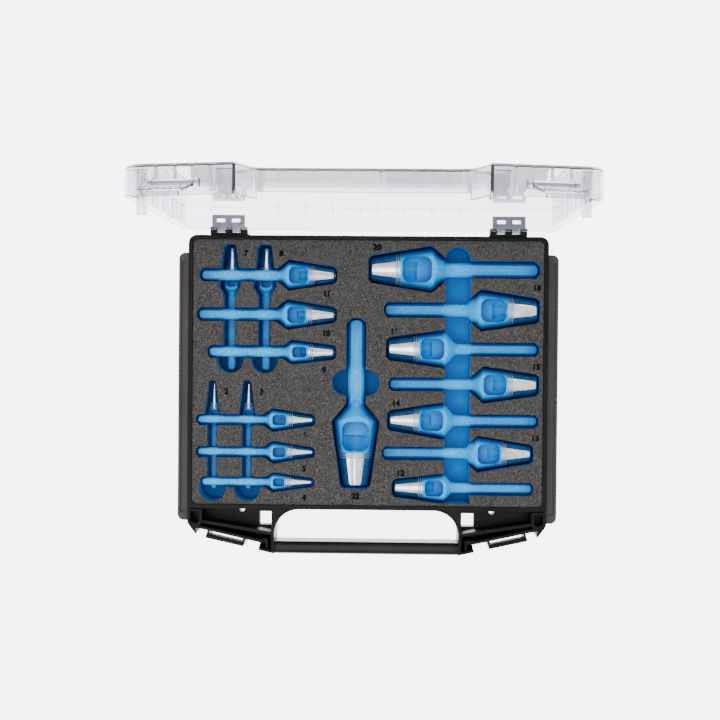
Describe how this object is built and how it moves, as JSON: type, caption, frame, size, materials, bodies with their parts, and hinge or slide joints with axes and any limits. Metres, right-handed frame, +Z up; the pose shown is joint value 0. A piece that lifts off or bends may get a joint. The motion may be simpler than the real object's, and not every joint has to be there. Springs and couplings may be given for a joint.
{
  "type": "drive hole punch set",
  "caption": "Boxed set of drive hole punches for leather and sheet material, lying in a two-colour foam insert inside a black carry case with a clear hinged lid.",
  "frame": {"origin": "centre of the case's underside, on the surface that it stands on, midway between its sides", "axes": "+X to the right, -Y towards the carry handle and the user, +Z up; the lid stands open"},
  "size_m": [0.367, 0.3345, 0.3807],
  "materials": {
    "black_case_plastic": "moulded, finely eroded satin",
    "black_grip_plastic": "moulded satin, polished on the edges by handling",
    "grey_rail_plastic": "moulded satin",
    "grey_hinge_plastic": "translucent moulded",
    "clear_lid_plastic": "clear polished moulding",
    "grey_foam": "closed-cell foam, speckled skin",
    "blue_foam": "closed-cell foam, milled",
    "blue_lacquered_steel": "satin lacquer over forged steel, cutting end polished bare",
    "steel_pin": "drawn steel wire"
  },
  "bodies": {
    "case": {"base_shell": "black_case_plastic", "handle_grip": "black_grip_plastic", "foam_base": "blue_foam", "foam_face": "grey_foam", "foam_patch_1": "grey_foam", "foam_patch_2": "grey_foam", "foam_patch_3": "grey_foam", "foam_patch_4": "grey_foam", "side_rail_left": "grey_rail_plastic", "side_rail_right": "grey_rail_plastic", "hinge_bracket_left": "black_case_plastic", "hinge_pin_left": "steel_pin", "hinge_bracket_right": "black_case_plastic", "hinge_pin_right": "steel_pin", "punch_02": "blue_lacquered_steel", "punch_03": "blue_lacquered_steel", "punch_07": "blue_lacquered_steel", "punch_08": "blue_lacquered_steel"},
    "lid": {"lid_shell": "clear_lid_plastic", "hinge_leaf_left": "grey_hinge_plastic", "hinge_leaf_right": "grey_hinge_plastic", "latch_pin_left": "steel_pin", "latch_pin_right": "steel_pin"},
    "latch_left_body": {"latch_left": "clear_lid_plastic"},
    "latch_right_body": {"latch_right": "clear_lid_plastic"},
    "punch_04_body": {"punch_04": "blue_lacquered_steel"},
    "punch_05_body": {"punch_05": "blue_lacquered_steel"},
    "punch_06_body": {"punch_06": "blue_lacquered_steel"},
    "punch_09_body": {"punch_09": "blue_lacquered_steel"},
    "punch_10_body": {"punch_10": "blue_lacquered_steel"},
    "punch_11_body": {"punch_11": "blue_lacquered_steel"},
    "punch_12_body": {"punch_12": "blue_lacquered_steel"},
    "punch_13_body": {"punch_13": "blue_lacquered_steel"},
    "punch_14_body": {"punch_14": "blue_lacquered_steel"},
    "punch_15_body": {"punch_15": "blue_lacquered_steel"},
    "punch_16_body": {"punch_16": "blue_lacquered_steel"},
    "punch_18_body": {"punch_18": "blue_lacquered_steel"},
    "punch_20_body": {"punch_20": "blue_lacquered_steel"},
    "punch_22_body": {"punch_22": "blue_lacquered_steel"}
  },
  "joints": [
    {"name": "lid_hinge", "type": "hinge", "parent": "case", "child": "lid", "pos_m": [0, 0.16, 0.047], "axis": [-1, 0, 0], "range_deg": [-90, 0]},
    {"name": "latch_left_hinge", "type": "hinge", "parent": "lid", "child": "latch_left_body", "pos_m": [-0.13719, 0.168, 0.35049], "axis": [-0.9763, 0, -0.2162], "range_deg": [-75, 15]},
    {"name": "latch_right_hinge", "type": "hinge", "parent": "lid", "child": "latch_right_body", "pos_m": [0.13719, 0.168, 0.35049], "axis": [-0.9763, 0, 0.2162], "range_deg": [-75, 15]},
    {"name": "punch_04_lift", "type": "slide", "parent": "case", "child": "punch_04_body", "axis": [0, 0, 1], "range_m": [0, 0.06]},
    {"name": "punch_05_lift", "type": "slide", "parent": "case", "child": "punch_05_body", "axis": [0, 0, 1], "range_m": [0, 0.06]},
    {"name": "punch_06_lift", "type": "slide", "parent": "case", "child": "punch_06_body", "axis": [0, 0, 1], "range_m": [0, 0.06]},
    {"name": "punch_09_lift", "type": "slide", "parent": "case", "child": "punch_09_body", "axis": [0, 0, 1], "range_m": [0, 0.06]},
    {"name": "punch_10_lift", "type": "slide", "parent": "case", "child": "punch_10_body", "axis": [0, 0, 1], "range_m": [0, 0.06]},
    {"name": "punch_11_lift", "type": "slide", "parent": "case", "child": "punch_11_body", "axis": [0, 0, 1], "range_m": [0, 0.06]},
    {"name": "punch_12_lift", "type": "slide", "parent": "case", "child": "punch_12_body", "axis": [0, 0, 1], "range_m": [0, 0.06]},
    {"name": "punch_13_lift", "type": "slide", "parent": "case", "child": "punch_13_body", "axis": [0, 0, 1], "range_m": [0, 0.06]},
    {"name": "punch_14_lift", "type": "slide", "parent": "case", "child": "punch_14_body", "axis": [0, 0, 1], "range_m": [0, 0.06]},
    {"name": "punch_15_lift", "type": "slide", "parent": "case", "child": "punch_15_body", "axis": [0, 0, 1], "range_m": [0, 0.06]},
    {"name": "punch_16_lift", "type": "slide", "parent": "case", "child": "punch_16_body", "axis": [0, 0, 1], "range_m": [0, 0.06]},
    {"name": "punch_18_lift", "type": "slide", "parent": "case", "child": "punch_18_body", "axis": [0, 0, 1], "range_m": [0, 0.06]},
    {"name": "punch_20_lift", "type": "slide", "parent": "case", "child": "punch_20_body", "axis": [0, 0, 1], "range_m": [0, 0.06]},
    {"name": "punch_22_lift", "type": "slide", "parent": "case", "child": "punch_22_body", "axis": [0, 0, 1], "range_m": [0, 0.06]}
  ]
}
